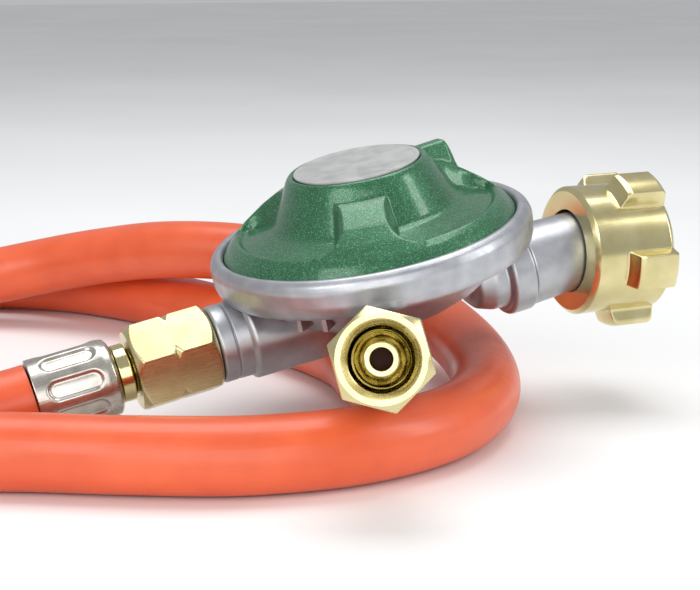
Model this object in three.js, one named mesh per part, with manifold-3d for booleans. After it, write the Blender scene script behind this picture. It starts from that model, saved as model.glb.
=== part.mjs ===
// Low-pressure gas regulator with its connection hose: a die-cast body with a painted cap, a brass
// hand nut for the cylinder on its inlet, and a 15 mm hose that ends in a union nut.
// Millimetres, +Z up. The origin is the centre of the cap's label face. The whole part lies on its
// own hose on a table at z = TABLE, so the regulator leans towards its outlet.
import * as THREE from 'three';
import { mergeVertices } from 'three/addons/utils/BufferGeometryUtils.js';
import Module from 'manifold-3d';

const wasm = await Module();
wasm.setup();

// ---- driving dimensions ----
const GAP = 0.3;              // clearance between pieces that touch
const TABLE = -56.7;          // height of the surface that the part lies on
const LEAN = -12.3;           // degrees, the inlet end is up
const ROLL = 3.0;             // degrees, the cap turns to the front

const CAP_TOP = 15.1;         // label face above the rim plane
const LABEL_R = 13.4;
const HUB_TOP = 14.9;         // the label stands 0.2 proud of the hub
const CAP_R = 31.3;
const SPOKE_COUNT = 3;
const SPOKE_WIDTH = 10.5;
const SPOKE_START = 10;       // degrees from the inlet to the spoke with the vent nose

const RIM_R = 34.6;
const RIM_BOTTOM = -7;
const BOWL_FLOOR = -14.4;     // inside of the bowl
const BOWL_BOTTOM = -16.5;    // outside of the bowl
const OUTLET_Z = -14.5;       // outlet axis below the rim plane
const OUTLET_END = -38.3;     // end of the outlet collar, where the union nut starts
const INLET_Z = -17.5;        // inlet axis below the rim plane
const PIPE_END = 50;

const HAND_NUT_X = 44.7;      // rear face of the hand nut
const HAND_NUT_LENGTH = 19.5;
const HAND_NUT_R = 14.3;
const HAND_NUT_WALL = 2.6;    // round the hole at its rear
const HAND_NUT_HOLE_R = 9.2;
const HAND_NUT_SAG = 11;      // degrees, the loose nut hangs on the pipe's end with its mouth down
const LUG_R = 17.9;
const LUG_COUNT = 5;
const LUG_START = -11;        // degrees, first lug from straight down, to the front
const SOCKET_R = 10.9;        // W21.8 cylinder thread

const HEX_AF = 17;            // union nuts, across flats
const NUT_LENGTH = 17.3;
const NECK_LENGTH = 3.3;
const FERRULE_LENGTH = 17;
const FERRULE_R = 8.15;
const HOSE_D = 15;

const DIAPHRAGM_Z = -3;
const LEVER_Z = -7.7;
const SLIDER_Z = -12.5;
const PIVOT_X = -12;          // lever pin, from the regulator's centre
const SPRING_R = 8.5;
const SPRING_COILS = 4;

// ---- shape helpers ----
const rad = THREE.MathUtils.degToRad;
const points = (list) => list.map(([x, y]) => new THREE.Vector2(x, y));

// a solid turned about Z from [radius, height] pairs, listed either way round
function turned(profile, segments = 32) {
  const outline = points(profile);
  if (THREE.ShapeUtils.area(outline) < 0) {
    outline.reverse();
  }
  return new THREE.LatheGeometry(outline, segments).rotateX(Math.PI / 2);
}

// a flat outline of [x, y] pairs, pushed up along Z from z0
function plate(outline, height, z0 = 0) {
  const shape = new THREE.Shape(points(outline));
  return new THREE.ExtrudeGeometry(shape, { depth: height, bevelEnabled: false }).translate(0, 0, z0);
}

function box(x0, x1, y0, y1, z0, z1) {
  const solid = new THREE.BoxGeometry(x1 - x0, y1 - y0, z1 - z0);
  return solid.translate((x0 + x1) / 2, (y0 + y1) / 2, (z0 + z1) / 2);
}

// a round bar along +X at height z, from x0 (radius r0) to x1 (radius r1)
function bar(x0, x1, z, r0, r1 = r0, segments = 24) {
  const solid = turned([[0, x0], [r0, x0], [r1, x1], [0, x1]], segments);
  return solid.rotateY(Math.PI / 2).translate(0, 0, z);
}

// a round bar along Y
function crossBar(x, z, radius, halfLength, segments = 12) {
  const solid = new THREE.CylinderGeometry(radius, radius, 2 * halfLength, segments);
  return solid.translate(x, 0, z);
}

function toSolid(geometry) {
  const bare = geometry.clone();
  bare.deleteAttribute('normal');
  bare.deleteAttribute('uv');
  const merged = mergeVertices(bare, 1e-4);
  const triangles = merged.index.array;
  const kept = [];
  for (let i = 0; i < triangles.length; i += 3) {
    const [a, b, c] = triangles.slice(i, i + 3);
    if (a !== b && b !== c && c !== a) {
      kept.push(a, b, c);
    }
  }
  const mesh = new wasm.Mesh({
    numProp: 3,
    vertProperties: new Float32Array(merged.attributes.position.array),
    triVerts: new Uint32Array(kept),
  });
  return new wasm.Manifold(mesh);
}

function toGeometry(solid) {
  const mesh = solid.getMesh();
  const geometry = new THREE.BufferGeometry();
  geometry.setAttribute('position', new THREE.BufferAttribute(mesh.vertProperties, 3));
  geometry.setIndex(new THREE.BufferAttribute(mesh.triVerts, 1));
  geometry.computeVertexNormals();
  return geometry;
}

const join = (list) => list.map(toSolid).reduce((sum, solid) => sum.add(solid));

function carve(body, cuts) {
  return cuts.map(toSolid).reduce((rest, cut) => rest.subtract(cut), body);
}

// ---- finishes: [colour, roughness, metalness] ----
const FINISH = {
  zinc: [0xb4b8bc, 0.42, 0.9],
  green: [0x2f7d50, 0.35, 0.55],
  label: [0xc8c8c6, 0.5, 0.1],
  brass: [0xc9b15e, 0.25, 1.0],
  nickel: [0xbdb9ac, 0.28, 1.0],
  steel: [0xa9a9a6, 0.35, 1.0],
  rubber: [0x1c1c1c, 0.8, 0.0],
  hose: [0xe9602f, 0.4, 0.0],
};

function piece(name, geometry, finish) {
  const [color, roughness, metalness] = FINISH[finish];
  const mesh = new THREE.Mesh(geometry, new THREE.MeshStandardMaterial({ color, roughness, metalness }));
  mesh.name = name;
  return mesh;
}

// ---- die-cast body: rolled rim, bowl, outlet boss and inlet pipe ----
const RIM_LIP_R = 30.8;
const GUSSET_ANGLES = [132, 143, 217, 228];
const GUSSET_HALF = 0.5;      // half of a gusset's thickness

function bodyOutside() {
  const rim = turned([
    [0, BOWL_BOTTOM], [17, BOWL_BOTTOM], [22.5, -13.4], [27.5, -9.2], [29.3, RIM_BOTTOM],
    [33, RIM_BOTTOM], [33.8, -6.1], [34.4, -4.4], [RIM_R, -1.2], [33.8, 0.5], [32.6, 1.2], [31.4, 1],
    [RIM_LIP_R, GAP], [0, GAP],
  ], 56);
  const gussets = GUSSET_ANGLES.map((angle) => {
    return box(24, 30, -GUSSET_HALF, GUSSET_HALF, -10.6, RIM_BOTTOM + 0.5).rotateZ(rad(angle));
  });
  return join([
    rim,
    bar(OUTLET_END + 6.5, 4, OUTLET_Z, 9.2, 9.5, 28),
    bar(OUTLET_END, OUTLET_END + 7, OUTLET_Z, 8.2, 8.2, 28),
    bar(OUTLET_END - 5.6, OUTLET_END + 1, OUTLET_Z, 5.6, 5.6, 20),
    bar(19, 27.5, INLET_Z, 7.6, 7.6, 28),
    bar(27, 33, INLET_Z, 9.6, 9.6, 28),
    bar(32, PIPE_END, INLET_Z, 9.0, 8.4, 28),
    ...gussets,
  ]);
}

// the jet's boss and the two posts of the lever pin stand inside the bowl
function bodySolid() {
  const seat = turned([
    [0, -3.8], [31.6, -3.8], [31.6, GAP], [RIM_LIP_R, GAP], [RIM_LIP_R, 3], [0, 3],
  ], 56);
  const bowl = turned([
    [0, BOWL_FLOOR], [16.8, BOWL_FLOOR], [21.2, -12], [26, -7], [27, -3.8], [27, 3], [0, 3],
  ], 56);
  const shell = carve(bodyOutside(), [seat, bowl]);
  const posts = [-1, 1].map((side) => {
    const y = side * 5.2;
    return box(PIVOT_X - 2.6, PIVOT_X + 2.6, y - 1.2, y + 1.2, BOWL_FLOOR - 1, LEVER_Z + 2.6);
  });
  const filled = shell.add(join([bar(10, 27, SLIDER_Z, 5.4, 5.4, 20), ...posts]));
  return carve(filled, [
    bar(OUTLET_END - 8, -17, OUTLET_Z, 3, 3, 16),
    bar(OUTLET_END - 5.7, OUTLET_END - 2.2, OUTLET_Z, 5.05, 3.3, 20),
    box(-17, 10.6, -2.9, 2.9, SLIDER_Z - 2.7, BOWL_FLOOR + 1),
    bar(9, 23, SLIDER_Z, 3.3, 3.3, 20),
    bar(22.5, 27, SLIDER_Z, 2.6, 2.6, 16),
    bar(24.5, PIPE_END + 1, INLET_Z, 3.6, 3.6, 16),
    bar(38, PIPE_END + 1, INLET_Z, 5.9, 5.9, 20),
    crossBar(PIVOT_X, LEVER_Z, 1.3, 8),
  ]);
}

// ---- painted cap: hub, three spokes and a rim that the body's lip holds down ----
function capSolid() {
  const pocketed = [
    [0, HUB_TOP], [14.4, HUB_TOP], [15.2, 14], [17, 10.2], [19.3, 5.6], [20.5, 4.7], [26.3, 3.1],
    [28, 4], [29.6, 2.7], [30.4, 1.5], [30.4, 0], [CAP_R, 0], [CAP_R, -2.3], [0, -2.3],
  ];
  const spokeCrest = [
    [0, 11.4], [16.2, 11.4], [19, 10.4], [23, 8], [27, 5], [30.4, 1.4], [30.4, 0], [0, 0],
  ];
  const crest = toSolid(turned(spokeCrest, 56));
  let cap = toSolid(turned(pocketed, 56));
  for (let i = 0; i < SPOKE_COUNT; i += 1) {
    const angle = rad(SPOKE_START + (360 / SPOKE_COUNT) * i);
    const half = SPOKE_WIDTH / 2;
    const spoke = plate([
      [8, -half], [24, -half], [31, -half - 5], [31, half + 5], [24, half], [8, half],
    ], 12);
    cap = cap.add(toSolid(spoke.rotateZ(angle)).intersect(crest));
  }
  cap = cap.add(toSolid(ventNose().rotateZ(rad(SPOKE_START))));
  const inside = turned([
    [0, 12.4], [11.5, 12.4], [13.6, 9], [16, 4.6], [24, 1.6], [28.4, -0.2], [28.4, -3], [0, -3],
  ], 48);
  const adjuster = turned([[0, 12], [10.4, 12], [10.4, 14], [0, 14]], 32);
  const seatR = LABEL_R + GAP;
  const labelSeat = turned([[0, CAP_TOP - 0.8], [seatR, CAP_TOP - 0.8], [seatR, 16], [0, 16]], 40);
  const access = turned([[0, 11], [7, 11], [7, 16], [0, 16]], 24);
  const vent = new THREE.CylinderGeometry(1.6, 1.6, 12, 12).rotateZ(Math.PI / 2);
  vent.translate(19, 0, 8.2).rotateZ(rad(SPOKE_START));
  return carve(cap, [inside, adjuster, labelSeat, access, vent]);
}

// the nose that covers the breather hole stands on the inlet-side spoke, level with the hub
function ventNose() {
  const side = plate([[13, 5], [24.6, 5], [23.8, 9.2], [23, 12.8], [22, 14], [13, 14.4]], 7, -3.5);
  return side.rotateX(Math.PI / 2);
}

function labelDisc() {
  return turned([[0, CAP_TOP - 0.5], [LABEL_R, CAP_TOP - 0.5], [LABEL_R, CAP_TOP - 0.1],
    [LABEL_R - 0.3, CAP_TOP], [0, CAP_TOP]], 40);
}

function adjustingDisc() {
  const disc = turned([[0, 10.6], [10.1, 10.6], [10.1, 13.2], [0, 13.2]], 32);
  return toGeometry(carve(toSolid(disc), [box(-3, 3, -3, 3, 12.2, 14)]));
}

// ---- spring and diaphragm stack ----
const SPRING_BOTTOM = DIAPHRAGM_Z + 1.9;
const SPRING_TOP = 10.6 - GAP;
const SPRING_WIRE_R = 0.8;

class Helix extends THREE.Curve {
  getPoint(t, target = new THREE.Vector3()) {
    const turn = 2 * Math.PI * SPRING_COILS * t;
    const low = SPRING_BOTTOM + SPRING_WIRE_R + GAP;
    const rise = SPRING_TOP - SPRING_WIRE_R - low;
    return target.set(SPRING_R * Math.cos(turn), SPRING_R * Math.sin(turn), low + rise * t);
  }
}

function round(radius, sides) {
  const outline = [];
  for (let i = 0; i < sides; i += 1) {
    const angle = (2 * Math.PI * i) / sides;
    outline.push([radius * Math.cos(angle), radius * Math.sin(angle)]);
  }
  return new THREE.Shape(points(outline));
}

function mainSpring() {
  return new THREE.ExtrudeGeometry(round(SPRING_WIRE_R, 6), {
    steps: SPRING_COILS * 14, bevelEnabled: false, extrudePath: new Helix(),
  });
}

// a thin rubber disc with one rolled convolution and a hole for the stem
function diaphragm() {
  const top = DIAPHRAGM_Z + 0.4;
  const low = DIAPHRAGM_Z - 0.4;
  return turned([
    [1.6, low], [18.6, low], [20.5, low + 1.7], [23.5, low + 1.7], [25.4, low], [31.2, low],
    [31.2, top], [25.8, top], [23.9, top + 1.7], [20.1, top + 1.7], [18.2, top], [1.6, top],
    [1.6, low],
  ], 40);
}

function diaphragmPlate() {
  const base = DIAPHRAGM_Z + 0.4 + GAP;
  return turned([
    [1.6, base], [17.2, base], [17.6, base + 1.6], [16.8, base + 1.6], [16.4, base + 0.8],
    [1.6, base + 0.8], [1.6, base],
  ], 40);
}

function diaphragmStem() {
  const shoulder = DIAPHRAGM_Z - 0.4 - GAP;
  const plateTop = DIAPHRAGM_Z + 1.5 + GAP;
  return turned([
    [0, LEVER_Z - 2.1], [2.1, LEVER_Z - 2.1], [2.1, LEVER_Z - 1.3], [1.1, LEVER_Z - 1.3],
    [1.1, LEVER_Z + 1.6], [3.2, LEVER_Z + 1.6], [3.2, shoulder], [1.2, shoulder],
    [1.2, plateTop], [3, plateTop], [3, plateTop + 1.2], [0, plateTop + 1.2],
  ], 20);
}

// ---- lever and valve ----
function lever() {
  const solids = [
    box(PIVOT_X, 2.6, -2.8, 2.8, LEVER_Z - 0.7, LEVER_Z + 0.7),
    crossBar(PIVOT_X, LEVER_Z, 2.2, 3.4, 16),
    box(PIVOT_X - 0.6, PIVOT_X + 0.6, -1.1, 1.1, SLIDER_Z - 1.6, LEVER_Z),
  ];
  const cuts = [crossBar(PIVOT_X, LEVER_Z, 1.3, 6), box(-1.7, 4, -1.5, 1.5, LEVER_Z - 2, LEVER_Z + 2)];
  return toGeometry(carve(join(solids), cuts));
}

const PAD_X = 9;

function valveSlider() {
  const rod = bar(PIVOT_X - 4, PAD_X, SLIDER_Z, 2.4, 2.4, 20);
  const slot = box(PIVOT_X - 1.5, PIVOT_X + 1.5, -1.4, 1.4, SLIDER_Z - 2, SLIDER_Z + 4);
  const padSeat = bar(PAD_X - 1, PAD_X + 1, SLIDER_Z, 1.9, 1.9, 20);
  return toGeometry(carve(toSolid(rod), [slot, padSeat]));
}

function inletJet() {
  const jet = join([bar(12.4, 22, SLIDER_Z, 3, 3, 20), bar(11, 12.6, SLIDER_Z, 1.4, 2, 20)]);
  return toGeometry(carve(jet, [bar(10, 23, SLIDER_Z, 0.7, 0.7, 10), bar(15, 23, SLIDER_Z, 1.6, 1.6, 12)]));
}

// ---- inlet: filter, spigot with its collar, seal ----
function inletFilter() {
  const cup = turned([
    [0, 0], [3.2, 0], [3.2, 7], [2.5, 7], [2.5, 0.8], [0, 0.8],
  ], 16);
  return cup.rotateY(Math.PI / 2).translate(29, 0, INLET_Z);
}

const COLLAR_X = PIPE_END + GAP;
const COLLAR_R = 9.6;
const SEAL_X = COLLAR_X + 2.3;

function inletSpigot() {
  const spigot = turned([
    [3, 38.5], [5.6, 38.5], [5.6, COLLAR_X], [COLLAR_R, COLLAR_X], [COLLAR_R, SEAL_X - GAP],
    [5.4, SEAL_X - GAP], [5.4, SEAL_X + 4], [4.6, SEAL_X + 4.8], [3, SEAL_X + 4.8], [3, 38.5],
  ], 28);
  return spigot.rotateY(Math.PI / 2).translate(0, 0, INLET_Z);
}

function inletSeal() {
  const seal = turned([
    [5.7, SEAL_X], [8.6, SEAL_X], [8.9, SEAL_X + 0.5], [8.9, SEAL_X + 2], [8.6, SEAL_X + 2.5],
    [5.7, SEAL_X + 2.5], [5.7, SEAL_X],
  ], 28);
  return seal.rotateY(Math.PI / 2).translate(0, 0, INLET_Z);
}

// ---- brass hand nut with five lugs on its front half ----
function handNut() {
  const shell = turned([
    [0, 0], [13.7, 0], [HAND_NUT_R, 0.7], [HAND_NUT_R, HAND_NUT_LENGTH - 1.2],
    [13.2, HAND_NUT_LENGTH], [0, HAND_NUT_LENGTH],
  ], 40);
  const solids = [shell];
  for (let i = 0; i < LUG_COUNT; i += 1) {
    const side = plate([
      [8, 8.3], [LUG_R - 0.6, 9.4], [LUG_R, 10.8], [LUG_R, 17.6], [LUG_R - 0.9, 18.6], [8, 18.6],
    ], 7.4, -3.7);
    const lug = side.rotateX(Math.PI / 2);
    solids.push(lug.rotateZ(rad(LUG_START + (360 / LUG_COUNT) * i)));
  }
  const hole = turned([[0, -1], [HAND_NUT_HOLE_R, -1], [HAND_NUT_HOLE_R, 6], [0, 6]], 32);
  const socket = turned([
    [0, HAND_NUT_WALL], [SOCKET_R, HAND_NUT_WALL], [SOCKET_R, HAND_NUT_LENGTH - 1.2],
    [12, HAND_NUT_LENGTH + 0.1], [12, HAND_NUT_LENGTH + 1], [0, HAND_NUT_LENGTH + 1],
  ], 32);
  const nut = toGeometry(carve(join(solids), [hole, socket]));
  const middle = HAND_NUT_WALL / 2;
  nut.translate(0, 0, -middle).rotateY(Math.PI / 2 + rad(HAND_NUT_SAG));
  return nut.translate(HAND_NUT_X + middle, 0, INLET_Z);
}

// ---- hose end fitting, along Z: the union nut's mouth is at z = 0 and the hose leaves below ----
const NECK_TOP = -NUT_LENGTH - GAP;
const FERRULE_TOP = NECK_TOP - NECK_LENGTH;
const FERRULE_BOTTOM = FERRULE_TOP - FERRULE_LENGTH;
const HOSE_START = FERRULE_BOTTOM - GAP;

function unionNut(twist) {
  const corner = HEX_AF / Math.sqrt(3);
  const hexagon = new THREE.CylinderGeometry(corner, corner, NUT_LENGTH, 6);
  hexagon.rotateX(Math.PI / 2).rotateZ(rad(twist)).translate(0, 0, -NUT_LENGTH / 2);
  const middle = -NUT_LENGTH / 2;
  const envelope = turned([
    [0, 0], [8, 0], [corner + 0.2, -1.6], [corner + 0.2, middle + 1.2], [9.1, middle],
    [corner + 0.2, middle - 1.2], [corner + 0.2, -NUT_LENGTH + 1.6], [8, -NUT_LENGTH], [0, -NUT_LENGTH],
  ], 36);
  const bore = turned([
    [0, 1], [7, 1], [7, 0], [6, -1], [6, -11.6], [4.8, -12.8],
    [4.8, -NUT_LENGTH - 1], [0, -NUT_LENGTH - 1],
  ], 28);
  return toGeometry(carve(toSolid(hexagon).intersect(toSolid(envelope)), [bore]));
}

function hoseNipple() {
  const tailEnd = FERRULE_BOTTOM + 1.5;
  const profile = [
    [2, -2.5], [3.1, -2.5], [5, -6.3], [5.4, -6.6], [5.4, -11.4], [4.5, -12.4], [4.5, NECK_TOP],
    [6, NECK_TOP - 0.4], [6, FERRULE_TOP + GAP], [3.9, FERRULE_TOP + GAP],
  ];
  for (let z = FERRULE_TOP - 3; z > tailEnd + 3; z -= 4) {
    profile.push([3.6, z], [4.2, z - 0.3], [3.6, z - 3.6]);
  }
  profile.push([3.4, tailEnd], [2, tailEnd], [2, -2.5]);
  return turned(profile, 24);
}

function ferrule() {
  return turned([
    [4.5, FERRULE_TOP], [6.6, FERRULE_TOP], [7.8, FERRULE_TOP - 0.6], [FERRULE_R, FERRULE_TOP - 2],
    [FERRULE_R, FERRULE_BOTTOM], [7.4, FERRULE_BOTTOM], [7.4, FERRULE_TOP - 1.8], [4.5, FERRULE_TOP - 1],
    [4.5, FERRULE_TOP],
  ], 28);
}

function fitting(number, twist) {
  const group = new THREE.Group();
  group.add(piece(`union_nut_${number}`, unionNut(twist), 'brass'));
  group.add(piece(`hose_nipple_${number}`, hoseNipple(), 'brass'));
  group.add(piece(`ferrule_${number}`, ferrule(), 'nickel'));
  return group;
}

// ---- regulator, in its own frame: the rim plane is z = 0 and the inlet points along +X ----
const regulator = new THREE.Group();
regulator.add(piece('body', toGeometry(bodySolid()), 'zinc'));
regulator.add(piece('cap', toGeometry(capSolid()), 'green'));
regulator.add(piece('label_disc', labelDisc(), 'label'));
regulator.add(piece('adjusting_disc', adjustingDisc(), 'brass'));
regulator.add(piece('main_spring', mainSpring(), 'steel'));
regulator.add(piece('diaphragm', diaphragm(), 'rubber'));
regulator.add(piece('diaphragm_plate', diaphragmPlate(), 'steel'));
regulator.add(piece('diaphragm_stem', diaphragmStem(), 'brass'));
regulator.add(piece('lever', lever(), 'steel'));
regulator.add(piece('lever_pin', crossBar(PIVOT_X, LEVER_Z, 1, 6), 'steel'));
regulator.add(piece('valve_slider', valveSlider(), 'brass'));
regulator.add(piece('valve_pad', bar(PAD_X - 1 + GAP, PAD_X + 0.6, SLIDER_Z, 1.6, 1.6, 20), 'rubber'));
regulator.add(piece('inlet_jet', inletJet(), 'brass'));
regulator.add(piece('inlet_filter', inletFilter(), 'steel'));
regulator.add(piece('inlet_spigot', inletSpigot(), 'brass'));
regulator.add(piece('inlet_seal', inletSeal(), 'rubber'));
regulator.add(piece('hand_nut', handNut(), 'brass'));
const outletFitting = fitting(1, -24);
outletFitting.rotation.set(0, Math.PI / 2, 0);
outletFitting.position.set(OUTLET_END - GAP, 0, OUTLET_Z);
regulator.add(outletFitting);

regulator.position.z = -CAP_TOP;
const leaning = new THREE.Group();
leaning.rotation.set(rad(ROLL), rad(LEAN), 0, 'YXZ');
leaning.add(regulator);

// ---- far end of the hose: it lies on the front run of the hose, mouth up and to the front ----
const FAR_MOUTH = new THREE.Vector3(-18, -62.6, -25.7);
const FAR_AXIS = new THREE.Vector3(-0.345, -0.906, 0.249).normalize();
const farFitting = fitting(2, 55);
farFitting.position.copy(FAR_MOUTH);
farFitting.quaternion.setFromUnitVectors(new THREE.Vector3(0, 0, 1), FAR_AXIS);

// ---- hose: out of the outlet, round the back, under the regulator's front and back under it ----
const HOSE_ROUTE = [
  [-90.6, 2.3, -48.4], [-111.3, 11.6, -49.1],
  [-126.3, 27.8, -49.1], [-134.2, 48.4, -49.1], [-134.7, 70.6, -49.1], [-127.3, 91.9, -49.1],
  [-113.2, 110, -49.1], [-94.5, 122.3, -48.6], [-73.3, 126.7, -46.1], [-52.1, 122.1, -41.9],
  [-34.2, 109.8, -37.1], [-18.8, 93.6, -33.4], [-2.1, 79.1, -32.8], [15.7, 65.5, -35.5],
  [29.2, 49.3, -40.2], [34.6, 28.9, -45.4], [32.4, 6.6, -48.3], [23.6, -13.9, -49.1],
  [9, -29.5, -49.1], [-11.8, -37.3, -49.1], [-33.9, -36.6, -49.1], [-54.8, -29.1, -49.1],
  [-75.3, -19.5, -49.1], [-96.5, -12.5, -49.1], [-117.3, -5.6, -49.1], [-135.9, 7.3, -49.1],
  [-149.7, 25.4, -49.1], [-156, 46.3, -49.1], [-155.5, 68.3, -49.1], [-149.3, 90.1, -49.1],
  [-138.8, 110.2, -49.1], [-124.6, 127.2, -49.1], [-106.6, 140, -49.1], [-85, 147.1, -49.1],
  [-62.8, 146.4, -49.1], [-43.1, 136.2, -49.1], [-27.7, 119.8, -49.1], [-16.3, 100.9, -49.1],
  [-7.1, 80.4, -49.1], [0.6, 59.2, -49.1], [6, 40, -49.1], [7.9, 24.2, -49.1],
  [6.4, 12, -48.9], [4.3, 1.1, -47.4], [1.4, -9.6, -44], [-1.9, -19.6, -39.4],
];
const HOSE_STEPS = 79;

function hoseEnd(fittingGroup, distance) {
  fittingGroup.updateWorldMatrix(true, false);
  return fittingGroup.localToWorld(new THREE.Vector3(0, 0, HOSE_START - distance));
}

function hose() {
  const route = HOSE_ROUTE.map((place) => new THREE.Vector3(...place));
  const path = new THREE.CatmullRomCurve3([
    hoseEnd(outletFitting, 0), hoseEnd(outletFitting, 5), ...route,
    hoseEnd(farFitting, 4), hoseEnd(farFitting, 0),
  ]);
  path.arcLengthDivisions = 1000;
  return new THREE.ExtrudeGeometry(round(HOSE_D / 2, 8), {
    steps: HOSE_STEPS, bevelEnabled: false, extrudePath: path,
  });
}

const part = new THREE.Group();
part.add(leaning, farFitting);
part.add(piece('hose', hose(), 'hose'));

export default part;
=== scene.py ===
"""Looks of a low-pressure gas regulator with its hose: shapes, finishes, table, lights and camera.

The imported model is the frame. Lengths inside the shape functions are millimetres in each piece's
own frame, and place() turns them into metres in the model's frame.
"""

import math

import bpy
import numpy as np
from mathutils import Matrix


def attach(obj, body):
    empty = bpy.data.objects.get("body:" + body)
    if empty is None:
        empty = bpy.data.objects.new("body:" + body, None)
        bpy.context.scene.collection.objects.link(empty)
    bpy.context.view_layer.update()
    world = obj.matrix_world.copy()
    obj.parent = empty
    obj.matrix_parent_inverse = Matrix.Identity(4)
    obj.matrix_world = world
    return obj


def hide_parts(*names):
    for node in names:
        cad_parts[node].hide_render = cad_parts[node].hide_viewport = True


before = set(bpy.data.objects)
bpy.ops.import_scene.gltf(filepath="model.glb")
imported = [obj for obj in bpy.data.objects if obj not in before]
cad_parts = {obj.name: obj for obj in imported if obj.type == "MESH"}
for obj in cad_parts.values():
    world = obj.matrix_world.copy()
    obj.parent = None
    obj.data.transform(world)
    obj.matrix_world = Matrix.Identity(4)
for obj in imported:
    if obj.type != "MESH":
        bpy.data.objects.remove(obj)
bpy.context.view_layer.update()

# ---- driving dimensions, in millimetres ----
TABLE = -56.7                 # surface that the hose lies on
LEAN = -12.3                  # degrees, the inlet end is up
ROLL = 3.0                    # degrees, the cap turns to the front
CAP_TOP = 15.1                # label face above the rim plane
LABEL_R = 13.4
HUB_TOP = 14.9
CAP_R = 31.3
RIM_R = 34.6
RIM_BOTTOM = -7.0
BOWL_BOTTOM = -16.5
RIB_ANGLES = (132, 143, 217, 228)     # degrees from the inlet, each side of the outlet boss
OUTLET_Z = -14.5
OUTLET_END = -38.3
INLET_Z = -17.5
PIPE_END = 50.0
COLLAR_X = PIPE_END + 0.3     # the spigot's collar stands against the pipe's end
SEAL_X = COLLAR_X + 2.3
SLIDER_Z = -12.5
LEVER_Z = -7.7
PIVOT_X = -12.0
HAND_NUT_X = 44.7
HAND_NUT_LENGTH = 19.5
HAND_NUT_R = 14.3
HAND_NUT_WALL = 2.6
HAND_NUT_SAG = 11.0           # degrees, the loose nut hangs with its mouth down
LUG_R = 17.9
LUG_COUNT = 5
LUG_HALF_WIDTH = 3.9
LUG_START = -11.0             # degrees, first lug from straight down, to the front
SOCKET_PITCH = 1.814          # 14 turns an inch
HEX_AF = 17.0
HOSE_THREAD_PITCH = 1.34      # 19 turns an inch
NUT_LENGTH = 17.3
NECK_TOP = -17.6
FERRULE_TOP = -20.9
FERRULE_BOTTOM = -37.9
FERRULE_R = 8.15
CRIMP_COUNT = 8
CRIMP_DEPTH = 0.6
HOSE_START = -38.2
HOSE_R = 7.5
FAR_MOUTH = (-18.0, -62.6, -25.7)
FAR_AXIS = (-0.345, -0.906, 0.249)
SPOKE_START = 10.0
SPOKE_COUNT = 3

# ---- the hose's route, in metres: round the back, under the regulator's front and back under it ----
HOSE_ROUTE = [
    (-0.0906, 0.0023, -0.0484), (-0.1113, 0.0116, -0.0491), (-0.1263, 0.0278, -0.0491),
    (-0.1342, 0.0484, -0.0491), (-0.1347, 0.0706, -0.0491), (-0.1273, 0.0919, -0.0491),
    (-0.1132, 0.1100, -0.0491), (-0.0945, 0.1223, -0.0486), (-0.0733, 0.1267, -0.0461),
    (-0.0521, 0.1221, -0.0419), (-0.0342, 0.1098, -0.0371), (-0.0188, 0.0936, -0.0334),
    (-0.0021, 0.0791, -0.0328), (0.0157, 0.0655, -0.0355), (0.0292, 0.0493, -0.0402),
    (0.0346, 0.0289, -0.0454), (0.0324, 0.0066, -0.0483), (0.0236, -0.0139, -0.0491),
    (0.0090, -0.0295, -0.0491), (-0.0118, -0.0373, -0.0491), (-0.0339, -0.0366, -0.0491),
    (-0.0548, -0.0291, -0.0491), (-0.0753, -0.0195, -0.0491), (-0.0965, -0.0125, -0.0491),
    (-0.1173, -0.0056, -0.0491), (-0.1359, 0.0073, -0.0491), (-0.1497, 0.0254, -0.0491),
    (-0.1560, 0.0463, -0.0491), (-0.1555, 0.0683, -0.0491), (-0.1493, 0.0901, -0.0491),
    (-0.1388, 0.1102, -0.0491), (-0.1246, 0.1272, -0.0491), (-0.1066, 0.1400, -0.0491),
    (-0.0850, 0.1471, -0.0491), (-0.0628, 0.1464, -0.0491), (-0.0431, 0.1362, -0.0491),
    (-0.0277, 0.1198, -0.0491), (-0.0163, 0.1009, -0.0491), (-0.0071, 0.0804, -0.0491),
    (0.0006, 0.0592, -0.0491), (0.0060, 0.0400, -0.0491), (0.0079, 0.0242, -0.0491),
    (0.0064, 0.0120, -0.0489), (0.0043, 0.0011, -0.0474), (0.0014, -0.0096, -0.0440),
    (-0.0019, -0.0196, -0.0394),
]


# ---- frames: each is a 3 x 3 turn and a shift, from a piece's own millimetres to the model's ----
def turn_x(degrees):
    """The turn about X, right-handed."""
    c, s = math.cos(math.radians(degrees)), math.sin(math.radians(degrees))
    return np.array([[1, 0, 0], [0, c, -s], [0, s, c]])


def turn_y(degrees):
    """The turn about Y, right-handed."""
    c, s = math.cos(math.radians(degrees)), math.sin(math.radians(degrees))
    return np.array([[c, 0, s], [0, 1, 0], [-s, 0, c]])


def smallest_turn(axis):
    """The smallest turn that takes +Z to axis."""
    a = np.array(axis) / np.linalg.norm(axis)
    x, y, z = a
    return np.array([
        [1 - x * x / (1 + z), -x * y / (1 + z), x],
        [-x * y / (1 + z), 1 - y * y / (1 + z), y],
        [-x, -y, z],
    ])


REGULATOR_TURN = turn_y(LEAN) @ turn_x(ROLL)
REGULATOR = (REGULATOR_TURN, REGULATOR_TURN @ np.array([0, 0, -CAP_TOP]))
TO_INLET = turn_y(90)         # takes a turned piece's +Z to the regulator's +X


def along_inlet(x, z):
    """The frame of a piece turned about a line along the regulator's X axis, starting at x, height z."""
    turn, shift = REGULATOR
    return (turn @ TO_INLET, turn @ np.array([x, 0, z]) + shift)


OUTLET_FITTING = along_inlet(OUTLET_END - 0.3, OUTLET_Z)
FAR_FITTING = (smallest_turn(FAR_AXIS), np.array(FAR_MOUTH))


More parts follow.
